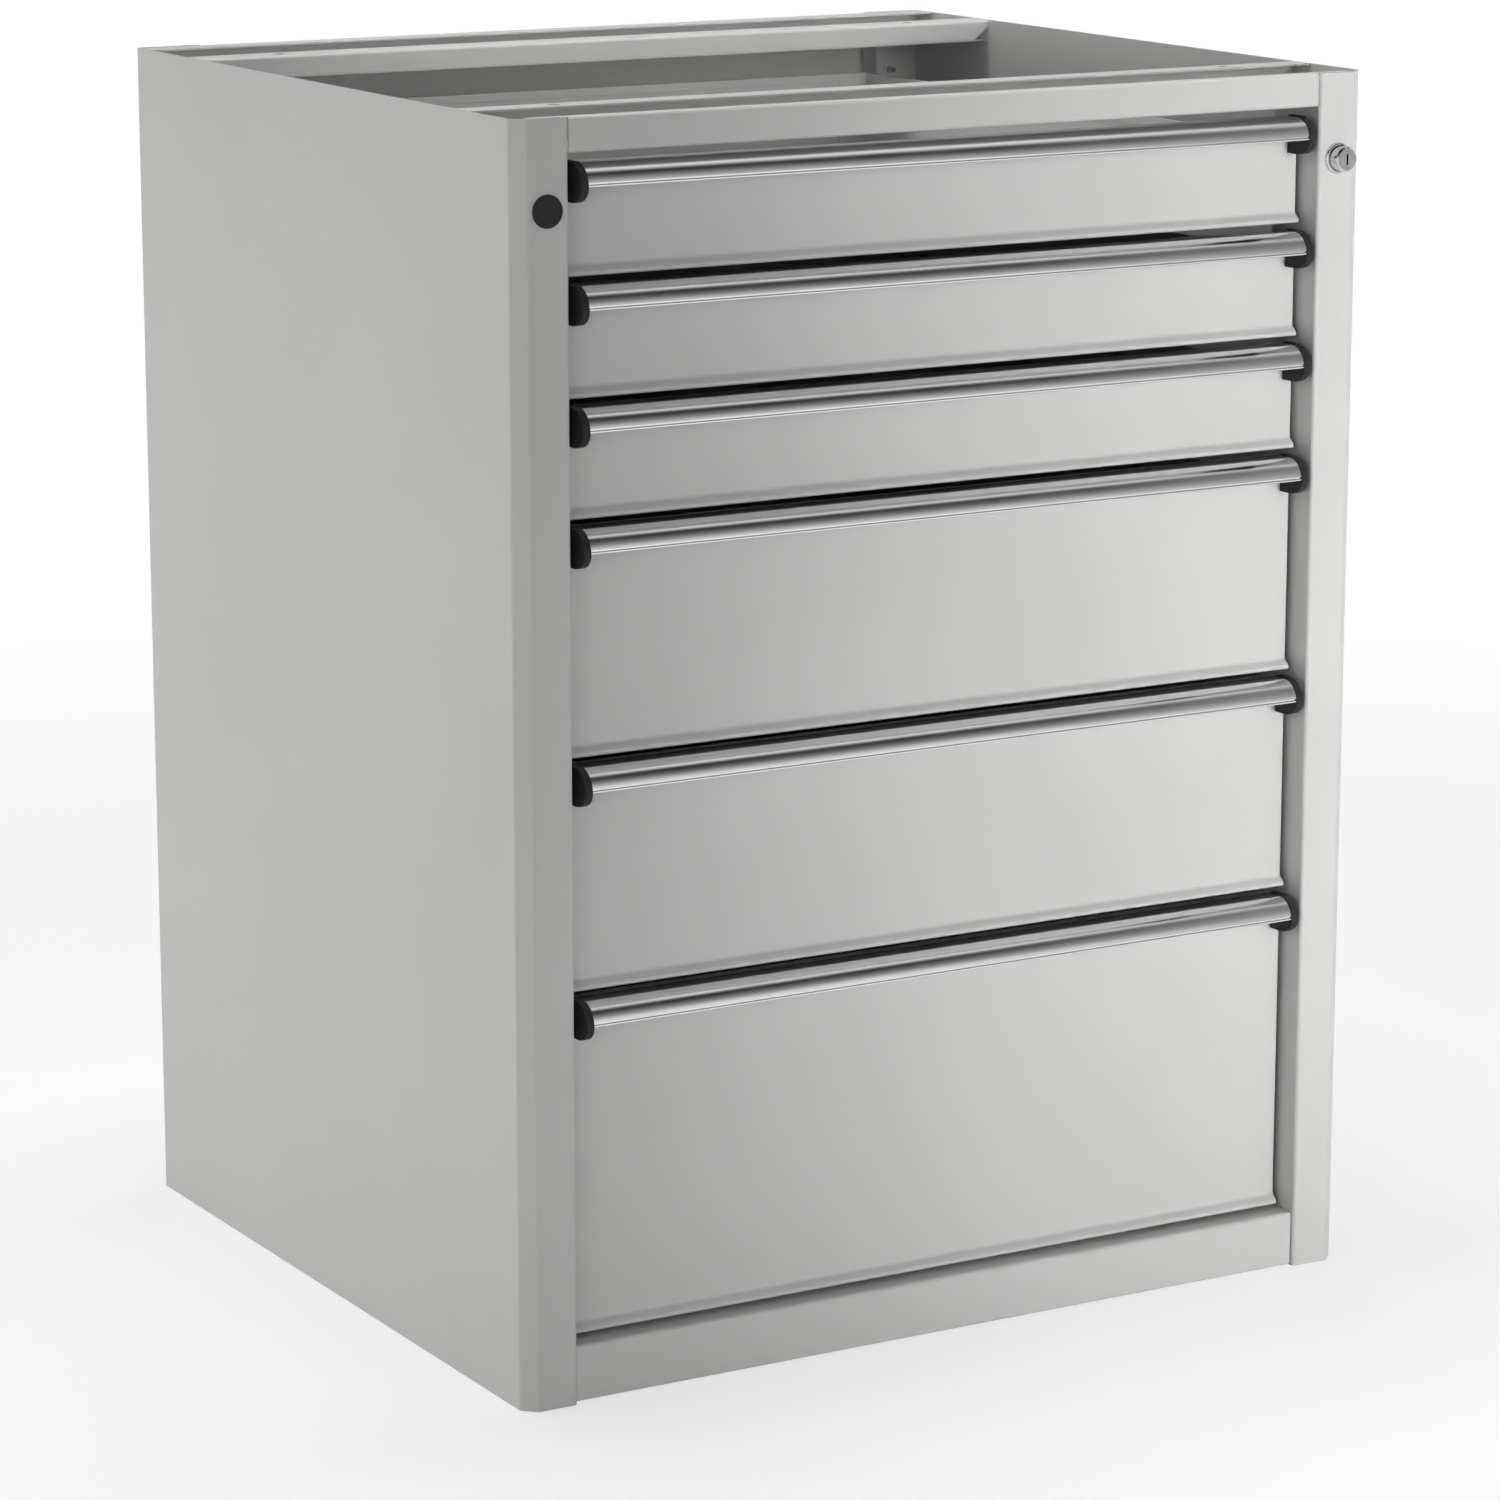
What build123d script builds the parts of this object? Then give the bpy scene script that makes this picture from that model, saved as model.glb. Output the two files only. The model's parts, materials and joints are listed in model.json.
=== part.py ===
"""Steel drawer cabinet with an open top, six drawers on telescopic slides and a central lock.

Millimetres. The origin is on the floor at the middle of the overall footprint, with the lock's projection
and the screw heads on the back counted in. +X is to the right as seen from the front, +Y to the back and
+Z up.
"""

import os
from math import cos, radians, sin

from build123d import *

os.makedirs("parts", exist_ok=True)

# Quarter of a circle, in degrees
QUARTER = 90.0

# Overall sizes of the carcass
WIDTH = 630.0
DEPTH = 560.0
FRONT_STEP_HEIGHT = 75.0
FRONT_STEPS = (1, 1, 1, 2, 2, 3)
PLINTH_HEIGHT = 38.0
PLINTH_GAP = 3.0
RAIL_GAP = 2.0
RAIL_FACE = 22.0

# Carcass sheet and its folds
SHEET = 1.25
BEND = 2.5
BACK_SHEET = 1.0
POST_CHAMFER = 9.0
POST_FACE = 28.0
POST_RETURN = 50.0
REAR_POST = 47.0
REAR_RETURN = 20.0
JOINT_GAP = 0.6

# Top rails
FRONT_RAIL_DEPTH = 82.0
FRONT_RAIL_SETBACK = 1.0
FRONT_RAIL_LIP = 9.0
REAR_RAIL_DEPTH = 99.0
REAR_RAIL_FACE = 15.5
RAIL_LIP = 21.0
RAIL_END_CUT = 16.0
WORKTOP_HOLE = 8.0
WORKTOP_HOLE_SPACING = 500.0

# Base
PLINTH_SETBACK = 3.0
PLINTH_CLEARANCE = 0.5
PLINTH_FOOT = 12.0
PLINTH_TAB = 20.0
BASE_RAIL_WIDTH = 28.0
BASE_RAIL_SHEET = 1.5
FLOOR_SHEET = 1.0
FLOOR_DROP = 1.0
FLOOR_APRON = 18.0

# Drawer fronts
FRONT_RECESS = 20.0
FRONT_SHEET = 1.2
FRONT_SIDE_GAP = 3.5
FRONT_FOLD = 14.0
FRONT_TOP_DROP = 2.0
FRONT_EDGE_RADIUS = 0.8
LIP_REACH = 4.5
LIP_RISE = 6.5
LIP_FLAT = 2.8
LIP_BEND = 1.5
LIP_HOLLOW = 3.0

# Trays
TRAY_SHEET = 1.0
TRAY_RISE = 5.0
TRAY_TOP_DROP = 16.5
TRAY_REAR_SPACE = 36.0
TRAY_HEM = 6.0
TRAY_LAP = 24.0

# Handles
HANDLE_DROP = 4.5
HANDLE_REACH = 24.5
HANDLE_RADIUS = 14.2
HANDLE_WALL = 2.0
HANDLE_FLANGE = 13.0
HANDLE_BEAD = 1.2
CAP_GAP = 6.0
CAP_THICKNESS = 5.0
CAP_RIM = 0.5
CAP_CHIN = 10.3
CAP_EDGE_RADIUS = 0.6
CAP_LUG_LENGTH = 10.0
CAP_LUG_MARGIN = 3.0
CAP_LUG_DEPTH = 11.0
CAP_LUG_TOP = 5.0

# Telescopic slides, given in the section across the runner
SLIDE_THICKNESS = 17.0
SLIDE_HEIGHT = 45.0
SLIDE_SHEET = 1.5
SLIDE_CLEARANCE = 0.4
SLIDE_LIFT = 27.0
SLIDE_START_GAP = 2.0
SLIDE_END_GAP = 0.5
BRACKET_HEIGHT = 24.0

# Lock in the right post, plug in the left post
LOCK_INSET = 22.0
LOCK_DROP = 56.0
LOCK_PROUD = 11.0
LOCK_HOLE = 19.0
BEZEL_DIAMETER = 20.7
BEZEL_THICKNESS = 2.5
BEZEL_EDGE = 1.0
BARREL_DIAMETER = 18.6
BARREL_LENGTH = 18.0
CYLINDER_DIAMETER = 16.6
CYLINDER_CLEARANCE = 0.1
CYLINDER_TAIL = 4.0
CYLINDER_EDGE = 1.2
KEYWAY_WIDTH = 1.4
KEYWAY_HEIGHT = 7.0
KEYWAY_DEPTH = 6.0
NUT_SIDES = 6
NUT_FLATS = 22.0
NUT_THICKNESS = 4.0
NUT_CLEARANCE = 0.1
CAM_THICKNESS = 3.0
CAM_HUB_RADIUS = 6.0
CAM_PIN_RADIUS = 2.0
CAM_PIN_RIM = 1.0
CAM_PIN_CLEARANCE = 0.5
PLUG_HEAD = 20.5
PLUG_THICKNESS = 1.6
PLUG_EDGE = 0.9
PLUG_SHANK = 18.6
PLUG_SHANK_LENGTH = 7.0
PLUG_WALL = 1.8

# Lock bar, its pins and the catches that they hold
LOCK_STROKE = 10.0
LOCK_TURN = 90.0
BAR_THICKNESS = 3.0
BAR_WIDTH = 12.0
BAR_GAP = 0.55
BAR_END = 7.0
BAR_ARM_HEIGHT = 14.0
PIN_DEPTH = 43.0
PIN_RADIUS = 2.4
PIN_REACH = 2.6
PIN_CLEARANCE = 0.9
CATCH_DROP = 14.0
CATCH_HEIGHT = 10.0
CATCH_THICKNESS = 2.5
CATCH_PLAY = 1.4
CATCH_POST_GAP = 1.3
CATCH_SEAT = 0.1
GUIDE_WALL = 2.0
GUIDE_CLEARANCE = 0.4
GUIDE_HEIGHT = 10.0
GUIDE_UPPER_LIFT = 20.0
GUIDE_LOWER_LIFT = 60.0

# Back panel screws
BACK_MARGIN = 3.0
BACK_FOOT = 10.0
SCREW_INSET = 24.0
SCREW_ROW_MARGIN = 40.0
SCREWS_PER_SIDE = 5
SCREW_SHANK = 4.0
SCREW_LENGTH = 8.0
SCREW_HEAD = 8.0
SCREW_HEAD_HEIGHT = 2.0
SCREW_HEAD_TAPER = 20.0
SCREW_HOLE_CLEARANCE = 0.3

# Places worked out from the sizes above
STACK_BOTTOM = PLINTH_HEIGHT + PLINTH_GAP
STACK_TOP = STACK_BOTTOM + FRONT_STEP_HEIGHT * sum(FRONT_STEPS)
RAIL_BOTTOM = STACK_TOP + RAIL_GAP
HEIGHT = RAIL_BOTTOM + RAIL_FACE
HALF = WIDTH / 2
FRONT = (LOCK_PROUD - DEPTH - SCREW_HEAD_HEIGHT) / 2
BACK = FRONT + DEPTH
REAR_FLANGE = BACK - BACK_SHEET
POST = POST_CHAMFER + POST_FACE
FACE = FRONT + FRONT_RECESS
FRONT_HALF = HALF - POST - FRONT_SIDE_GAP
TRAY_HALF = HALF - REAR_POST - SLIDE_THICKNESS
TRAY_FRONT = FACE + FRONT_SHEET
TRAY_BACK = BACK - TRAY_REAR_SPACE
SLIDE_START = FACE + FRONT_FOLD + SLIDE_START_GAP
HANDLE_HALF = HALF - POST - CAP_GAP - CAP_THICKNESS
LOCK_HEIGHT = HEIGHT - LOCK_DROP
CAM_RADIUS = LOCK_STROKE / 2 / sin(radians(LOCK_TURN / 2))
RETURN_BACK = POST - SHEET
BAR_OUTER = RETURN_BACK - BAR_GAP
BAR_INNER = BAR_OUTER - BAR_THICKNESS
BAR_FRONT = FRONT + PIN_DEPTH - BAR_WIDTH / 2
PIN_Y = FRONT + PIN_DEPTH


def tops():
    """Height of the line above each drawer front, from the top drawer down."""
    height = STACK_TOP
    lines = []
    for steps in FRONT_STEPS:
        lines.append(height)
        height -= steps * FRONT_STEP_HEIGHT
    return lines


TOPS = tops()
BOTTOMS = [top - steps * FRONT_STEP_HEIGHT for top, steps in zip(TOPS, FRONT_STEPS)]


def save(part, name):
    """Label one finished piece and write it."""
    part.label = name
    export_step(part, f"parts/{name}.step")


def pin_height(drawer):
    """Height of a lock pin when the lock is open."""
    return TOPS[drawer] - CATCH_DROP - LOCK_STROKE


def screw_heights():
    """Heights of the screws down each edge of the back panel."""
    low = BACK_FOOT + SCREW_ROW_MARGIN
    high = HEIGHT - BACK_MARGIN - SCREW_ROW_MARGIN
    step = (high - low) / (SCREWS_PER_SIDE - 1)
    return [low + step * row for row in range(SCREWS_PER_SIDE)]


def side_panel(right):
    """One folded sheet: return, post face, corner fold, side, rear face and rear return."""
    with BuildPart() as panel:
        with BuildSketch():
            with BuildLine():
                FilletPolyline(
                    (-HALF + POST, FRONT + POST_RETURN),
                    (-HALF + POST, FRONT),
                    (-HALF + POST_CHAMFER, FRONT),
                    (-HALF, FRONT + POST_CHAMFER),
                    (-HALF, REAR_FLANGE),
                    (-HALF + REAR_POST, REAR_FLANGE),
                    (-HALF + REAR_POST, REAR_FLANGE - REAR_RETURN),
                    radius=BEND,
                )
                offset(amount=SHEET, side=Side.RIGHT)
            make_face()
        extrude(amount=HEIGHT)
        # The returns stop below the top rails.
        front_notch = POST_RETURN - BEND
        with Locations((-HALF + POST, FRONT + BEND + front_notch / 2, HEIGHT)):
            Box(2 * BEND, front_notch, 2 * (RAIL_FACE + JOINT_GAP), mode=Mode.SUBTRACT)
        rear_notch = REAR_RETURN - BEND
        with Locations((-HALF + REAR_POST, REAR_FLANGE - BEND - rear_notch / 2, HEIGHT)):
            Box(2 * BEND, rear_notch, 2 * (REAR_RAIL_FACE + JOINT_GAP), mode=Mode.SUBTRACT)
        # Lock or plug hole in the post face
        with BuildSketch(Plane.XZ.offset(-FRONT)):
            with Locations((-HALF + LOCK_INSET, LOCK_HEIGHT)):
                Circle(LOCK_HOLE / 2)
        extrude(amount=-BEND, mode=Mode.SUBTRACT)
        # Screw holes in the rear face
        with BuildSketch(Plane.XZ.offset(-REAR_FLANGE)):
            with Locations([(-HALF + SCREW_INSET, height) for height in screw_heights()]):
                Circle(SCREW_SHANK / 2 + SCREW_HOLE_CLEARANCE)
        extrude(amount=BEND, mode=Mode.SUBTRACT)
        if right:
            # Windows in the return, one for each lock pin
            window = LOCK_STROKE + 2 * (PIN_RADIUS + PIN_CLEARANCE)
            middles = [pin_height(drawer) + LOCK_STROKE / 2 for drawer in range(len(TOPS))]
            with BuildSketch(Plane.YZ.offset(-HALF + RETURN_BACK - SHEET)):
                with Locations([(PIN_Y, middle) for middle in middles]):
                    SlotOverall(window, 2 * (PIN_RADIUS + PIN_CLEARANCE), rotation=QUARTER)
            extrude(amount=3 * SHEET, mode=Mode.SUBTRACT)
    if not right:
        return panel.part
    with BuildPart() as mirrored:
        mirror(panel.part, about=Plane.YZ)
    return mirrored.part


def top_rail_front():
    """Upward-open channel with a face just behind the posts' and an in-turned lip along each edge."""
    face = FRONT + FRONT_RAIL_SETBACK
    with BuildPart() as rail:
        with BuildSketch(Plane.YZ):
            with BuildLine():
                FilletPolyline(
                    (FRONT + FRONT_RAIL_LIP, HEIGHT),
                    (face, HEIGHT),
                    (face, RAIL_BOTTOM),
                    (FRONT + FRONT_RAIL_DEPTH, RAIL_BOTTOM),
                    (FRONT + FRONT_RAIL_DEPTH, HEIGHT),
                    (FRONT + FRONT_RAIL_DEPTH - RAIL_LIP, HEIGHT),
                    radius=BEND,
                )
                offset(amount=SHEET, side=Side.LEFT)
            make_face()
        extrude(amount=HALF - SHEET, both=True)
        # Behind the posts the face is cut away, and the corners clear the corner folds.
        post_cut = BEND + JOINT_GAP
        for side in (-1, 1):
            with Locations((side * HALF, FRONT, HEIGHT)):
                Box(2 * (POST + JOINT_GAP), 2 * post_cut, 4 * RAIL_FACE, mode=Mode.SUBTRACT)
                corner = POST_CHAMFER + BEND
                Box(2 * corner, 2 * corner, 4 * RAIL_FACE, mode=Mode.SUBTRACT)
        hole_y = FRONT + FRONT_RAIL_DEPTH - RAIL_LIP / 2
        with Locations((0, hole_y, HEIGHT)):
            with GridLocations(WORKTOP_HOLE_SPACING, 0, 2, 1):
                Cylinder(WORKTOP_HOLE / 2, 4 * SHEET, mode=Mode.SUBTRACT)
    return rail.part


def top_rail_rear():
    """Upward-open lipped channel along the back, with its lower front corners cut off."""
    rail_back = REAR_FLANGE - BEND - JOINT_GAP
    rail_front = rail_back - REAR_RAIL_DEPTH
    low = HEIGHT - REAR_RAIL_FACE
    with BuildPart() as rail:
        with BuildSketch(Plane.YZ):
            with BuildLine():
                FilletPolyline(
                    (rail_front + RAIL_LIP, HEIGHT),
                    (rail_front, HEIGHT),
                    (rail_front, low),
                    (rail_back, low),
                    (rail_back, HEIGHT),
                    (rail_back - RAIL_LIP, HEIGHT),
                    radius=BEND,
                )
                offset(amount=SHEET, side=Side.LEFT)
            make_face()
        extrude(amount=HALF - SHEET, both=True)
        with BuildSketch(Plane.XZ.offset(-rail_front)):
            for side in (-1, 1):
                with BuildLine():
                    Polyline(
                        (side * HALF, low - SHEET),
                        (side * (HALF - SHEET - RAIL_END_CUT), low - SHEET),
                        (side * HALF, HEIGHT - BEND - SHEET),
                        close=True,
                    )
                make_face()
        extrude(amount=-BEND - SHEET, mode=Mode.SUBTRACT)
        with Locations((0, rail_front + RAIL_LIP / 2, HEIGHT)):
            with GridLocations(WORKTOP_HOLE_SPACING, 0, 2, 1):
                Cylinder(WORKTOP_HOLE / 2, 4 * SHEET, mode=Mode.SUBTRACT)
    return rail.part


def plinth():
    """Kick board with a top flange under the lowest drawer and a tab against each post."""
    wall = FRONT + PLINTH_SETBACK
    length = HALF - POST
    with BuildPart() as board:
        with BuildSketch(Plane.YZ):
            with BuildLine():
                FilletPolyline(
                    (wall + PLINTH_FOOT, PLINTH_CLEARANCE),
                    (wall, PLINTH_CLEARANCE),
                    (wall, PLINTH_HEIGHT),
                    (FRONT + POST_RETURN, PLINTH_HEIGHT),
                    (FRONT + POST_RETURN, PLINTH_HEIGHT - PLINTH_FOOT),
                    radius=BEND,
                )
                offset(amount=SHEET, side=Side.RIGHT)
            make_face()
        # A joint gap shows at each end of the board; the tabs behind it reach the posts.
        extrude(amount=length - JOINT_GAP, both=True)
        tab_height = PLINTH_HEIGHT - PLINTH_CLEARANCE - 2 * BEND
        tab_depth = PLINTH_TAB + SHEET / 2
        for side in (-1, 1):
            with Locations(
                (
                    side * (length - SHEET / 2),
                    wall + SHEET / 2 + tab_depth / 2,
                    PLINTH_CLEARANCE + BEND + tab_height / 2,
                )
            ):
                Box(SHEET, tab_depth, tab_height)
    return board.part


def base_rail(side):
    """Channel along one side that stands on the floor and carries the floor panel."""
    front = FRONT + POST_RETURN + BEND
    length = REAR_FLANGE - REAR_RETURN - BEND - front
    outer = HALF - SHEET
    top = PLINTH_HEIGHT - FLOOR_DROP - FLOOR_SHEET
    with BuildPart() as rail:
        with BuildSketch(Plane.XZ.offset(-front)):
            with BuildLine():
                FilletPolyline(
                    (side * (outer - BASE_RAIL_WIDTH), 0),
                    (side * outer, 0),
                    (side * outer, top),
                    (side * (outer - BASE_RAIL_WIDTH), top),
                    radius=BEND,
                )
                offset(amount=BASE_RAIL_SHEET, side=Side.LEFT if side > 0 else Side.RIGHT)
            make_face()
        extrude(amount=-length)
    return rail.part


def floor_panel():
    """Sheet on the base rails, with an apron folded down at its front and rear."""
    front = FRONT + POST_RETURN + BEND
    length = REAR_FLANGE - REAR_RETURN - BEND - front
    top = PLINTH_HEIGHT - FLOOR_DROP
    apron_width = WIDTH - 2 * (SHEET + BASE_RAIL_WIDTH + BEND)
    with BuildPart() as panel:
        with Locations((0, front + length / 2, top - FLOOR_SHEET / 2)):
            Box(WIDTH - 2 * SHEET - 2 * JOINT_GAP, length, FLOOR_SHEET)
        for edge in (front + FLOOR_SHEET / 2, front + length - FLOOR_SHEET / 2):
            with Locations((0, edge, top - FLOOR_APRON / 2)):
                Box(apron_width, FLOOR_SHEET, FLOOR_APRON)
    return panel.part


def back_panel():
    """Flat sheet screwed on from behind."""
    high = HEIGHT - BACK_MARGIN
    with BuildPart() as panel:
        with BuildSketch(Plane.XZ.offset(-REAR_FLANGE)):
            with Locations((0, (BACK_FOOT + high) / 2)):
                RectangleRounded(WIDTH - 2 * BACK_MARGIN, high - BACK_FOOT, BEND)
            for side in (-1, 1):
                with Locations([(side * (HALF - SCREW_INSET), height) for height in screw_heights()]):
                    Circle(SCREW_SHANK / 2 + SCREW_HOLE_CLEARANCE, mode=Mode.SUBTRACT)
        extrude(amount=-BACK_SHEET)
    return panel.part


def back_panel_screws():
    """Pan-head screws that hold the back panel to the rear faces of the side panels."""
    with BuildPart() as screws:
        for side in (-1, 1):
            spots = [(side * (HALF - SCREW_INSET), height) for height in screw_heights()]
            with BuildSketch(Plane.XZ.offset(-BACK)):
                with Locations(spots):
                    Circle(SCREW_SHANK / 2)
            extrude(amount=SCREW_LENGTH)
            with BuildSketch(Plane.XZ.offset(-BACK)):
                with Locations(spots):
                    Circle(SCREW_HEAD / 2)
            extrude(amount=-SCREW_HEAD_HEIGHT, taper=SCREW_HEAD_TAPER)
    return screws.part


def drawer_front(drawer):
    """Folded front with a flared lip along its bottom edge, and a lock catch block on a tab at its right."""
    low = BOTTOMS[drawer]
    top = TOPS[drawer] - HANDLE_DROP - FRONT_TOP_DROP
    with BuildPart() as front:
        with BuildSketch(Plane.YZ):
            with BuildLine():
                FilletPolyline(
                    (FACE + FRONT_FOLD, top),
                    (FACE, top),
                    (FACE, low + LIP_RISE),
                    (FACE - LIP_REACH, low + LIP_FLAT),
                    (FACE - LIP_REACH, low),
                    (FACE + FRONT_FOLD, low),
                    radius=(LIP_BEND, LIP_HOLLOW, LIP_BEND, LIP_BEND),
                )
                offset(amount=FRONT_SHEET, side=Side.LEFT)
            make_face()
        extrude(amount=FRONT_HALF, both=True)
        fold_low = low + LIP_RISE + LIP_HOLLOW
        fold_high = top - LIP_BEND
        for side in (-1, 1):
            with Locations(
                (
                    side * (FRONT_HALF - FRONT_SHEET / 2),
                    FACE + FRONT_FOLD / 2,
                    (fold_low + fold_high) / 2,
                )
            ):
                Box(FRONT_SHEET, FRONT_FOLD, fold_high - fold_low)
        # The tab runs back from the right fold.
        catch_back = PIN_Y + PIN_RADIUS + CATCH_PLAY + CATCH_THICKNESS
        tab = catch_back - FACE - FRONT_SHEET
        height = TOPS[drawer] - CATCH_DROP
        with Locations((FRONT_HALF - FRONT_SHEET / 2, catch_back - tab / 2, height)):
            Box(FRONT_SHEET, tab, CATCH_HEIGHT)
        uprights = front.edges().filter_by(Axis.Z).filter_by_position(Axis.Y, FACE - SHEET, FACE + SHEET / 4)
        outer = [edge for edge in uprights if abs(abs(edge.center().X) - FRONT_HALF) < SHEET / 4]
        fillet(outer, FRONT_EDGE_RADIUS)
        # The catch block is a solid of its own, seated on the tab's outer face.
        catch_inner = FRONT_HALF + CATCH_SEAT
        catch_outer = HALF - POST - CATCH_POST_GAP
        with Locations(((catch_inner + catch_outer) / 2, catch_back - CATCH_THICKNESS / 2, height)):
            Box(catch_outer - catch_inner, CATCH_THICKNESS, CATCH_HEIGHT)
    return front.part


def drawer_tray(drawer):
    """Open sheet tray behind the front, hemmed along its top, with the sides lapped over the back wall."""
    low = BOTTOMS[drawer] + TRAY_RISE
    top = TOPS[drawer] - TRAY_TOP_DROP
    length = TRAY_BACK - TRAY_FRONT
    middle = (TRAY_BACK + TRAY_FRONT) / 2
    with BuildPart() as tray:
        with Locations((0, middle, (low + top) / 2)):
            Box(2 * TRAY_HALF, length, top - low)
        with Locations((0, middle, (low + top) / 2 + TRAY_SHEET)):
            Box(2 * (TRAY_HALF - TRAY_SHEET), length - 2 * TRAY_SHEET, top - low, mode=Mode.SUBTRACT)
        with BuildSketch(Plane.XY.offset(top)):
            with Locations((0, middle)):
                Rectangle(2 * TRAY_HALF, length)
                Rectangle(2 * (TRAY_HALF - 2 * TRAY_SHEET), length - 4 * TRAY_SHEET, mode=Mode.SUBTRACT)
        extrude(amount=-TRAY_HEM)
        for side in (-1, 1):
            with Locations(
                (
                    side * (TRAY_HALF - TRAY_SHEET - TRAY_LAP / 2),
                    TRAY_BACK - 3 * TRAY_SHEET / 2,
                    (low + top) / 2,
                )
            ):
                Box(TRAY_LAP, TRAY_SHEET, top - low)
    return tray.part


def handle_bar(drawer):
    """Extruded bar: a flange on the drawer front, a flat top and a quarter-round nose with a bead."""
    top = TOPS[drawer] - HANDLE_DROP
    centre = FACE - HANDLE_REACH + HANDLE_RADIUS
    inner = HANDLE_RADIUS - HANDLE_WALL
    with BuildPart() as bar:
        with BuildSketch(Plane.YZ):
            with BuildLine():
                Polyline((FACE, top - HANDLE_FLANGE), (FACE, top), (centre, top))
                CenterArc((centre, top - HANDLE_RADIUS), HANDLE_RADIUS, QUARTER, QUARTER)
                Line(
                    (centre - HANDLE_RADIUS, top - HANDLE_RADIUS),
                    (centre - inner, top - HANDLE_RADIUS),
                )
                CenterArc((centre, top - HANDLE_RADIUS), inner, QUARTER, QUARTER)
                Polyline(
                    (centre, top - HANDLE_WALL),
                    (FACE - HANDLE_WALL, top - HANDLE_WALL),
                    (FACE - HANDLE_WALL, top - HANDLE_FLANGE),
                    (FACE, top - HANDLE_FLANGE),
                )
            make_face()
            with Locations((centre - HANDLE_RADIUS + HANDLE_BEAD, top - HANDLE_RADIUS)):
                Circle(HANDLE_BEAD)
        extrude(amount=HANDLE_HALF, both=True)
    return bar.part


def handle_caps(drawer):
    """Two moulded end caps with a chin below the bar and a lug inside its hollow."""
    top = TOPS[drawer] - HANDLE_DROP
    centre = FACE - HANDLE_REACH + HANDLE_RADIUS
    rim = HANDLE_RADIUS + CAP_RIM
    axis = top - HANDLE_RADIUS
    chin = axis - CAP_CHIN
    outside = HANDLE_HALF + CAP_THICKNESS
    with BuildPart() as caps:
        for side in (-1, 1):
            with BuildSketch(Plane.YZ.offset(side * HANDLE_HALF)):
                with BuildLine():
                    Polyline((centre, chin), (FACE, chin), (FACE, axis + rim), (centre, axis + rim))
                    CenterArc((centre, axis), rim, QUARTER, QUARTER)
                    EllipticalCenterArc(
                        (centre, axis), rim, CAP_CHIN, start_angle=2 * QUARTER, arc_size=QUARTER
                    )
                make_face()
            extrude(amount=side * CAP_THICKNESS)
            lug_height = top - CAP_LUG_TOP - axis
            with Locations(
                (
                    side * (HANDLE_HALF - CAP_LUG_LENGTH / 2),
                    FACE - CAP_LUG_MARGIN - CAP_LUG_DEPTH / 2,
                    axis + lug_height / 2,
                )
            ):
                Box(CAP_LUG_LENGTH, CAP_LUG_DEPTH, lug_height)
        rims = [edge for edge in caps.edges() if abs(abs(edge.center().X) - outside) < CAP_RIM / 2]
        fillet(rims, CAP_EDGE_RADIUS)
    return caps.part


def slide_height(drawer):
    """Height of a runner's middle line."""
    return BOTTOMS[drawer] + TRAY_RISE + SLIDE_LIFT


def channel(plane, web, tip, half_height, sheet, length):
    """A pair of mirrored channels along the drawer: web and flange tips as distances from the side."""
    direction = 1 if tip > web else -1
    with BuildPart() as pair:
        for side in (-1, 1):
            with BuildSketch(plane):
                with BuildLine():
                    Polyline(
                        (side * (HALF - tip), half_height),
                        (side * (HALF - web), half_height),
                        (side * (HALF - web), -half_height),
                        (side * (HALF - tip), -half_height),
                        (side * (HALF - tip), -half_height + sheet),
                        (side * (HALF - web - direction * sheet), -half_height + sheet),
                        (side * (HALF - web - direction * sheet), half_height - sheet),
                        (side * (HALF - tip), half_height - sheet),
                        close=True,
                    )
                make_face()
            extrude(amount=-length)
    return pair.part


def slide_outer(drawer):
    """Cabinet members: channels held to the front posts by a bracket and to the rear posts by the web."""
    height = slide_height(drawer)
    tip = REAR_POST + SLIDE_THICKNESS - SLIDE_SHEET - 2 * SLIDE_CLEARANCE
    plane = Plane((0, SLIDE_START, height), x_dir=(1, 0, 0), z_dir=(0, -1, 0))
    length = REAR_FLANGE - SHEET - SLIDE_END_GAP - SLIDE_START
    members = channel(plane, REAR_POST, tip, SLIDE_HEIGHT / 2, SLIDE_SHEET, length)
    foot = FRONT + POST_RETURN - SLIDE_START
    with BuildPart() as pair:
        add(members)
        for side in (-1, 1):
            with BuildSketch(Plane.XY.offset(height - BRACKET_HEIGHT / 2)):
                with BuildLine():
                    Polyline(
                        (side * (HALF - POST), SLIDE_START + foot),
                        (side * (HALF - POST), SLIDE_START),
                        (side * (HALF - REAR_POST - SLIDE_SHEET), SLIDE_START),
                        (side * (HALF - REAR_POST - SLIDE_SHEET), SLIDE_START + SLIDE_SHEET),
                        (side * (HALF - POST - SLIDE_SHEET), SLIDE_START + SLIDE_SHEET),
                        (side * (HALF - POST - SLIDE_SHEET), SLIDE_START + foot),
                        close=True,
                    )
                make_face()
            extrude(amount=BRACKET_HEIGHT)
    return pair.part


def slide_middle(drawer):
    """Middle members, nested in the cabinet members and half as fast as the drawer."""
    web = REAR_POST + SLIDE_SHEET + SLIDE_CLEARANCE
    tip = REAR_POST + SLIDE_THICKNESS - SLIDE_SHEET - SLIDE_CLEARANCE
    half_height = SLIDE_HEIGHT / 2 - SLIDE_SHEET - SLIDE_CLEARANCE
    plane = Plane((0, SLIDE_START, slide_height(drawer)), x_dir=(1, 0, 0), z_dir=(0, -1, 0))
    return channel(plane, web, tip, half_height, SLIDE_SHEET, TRAY_BACK - SLIDE_START)


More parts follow.
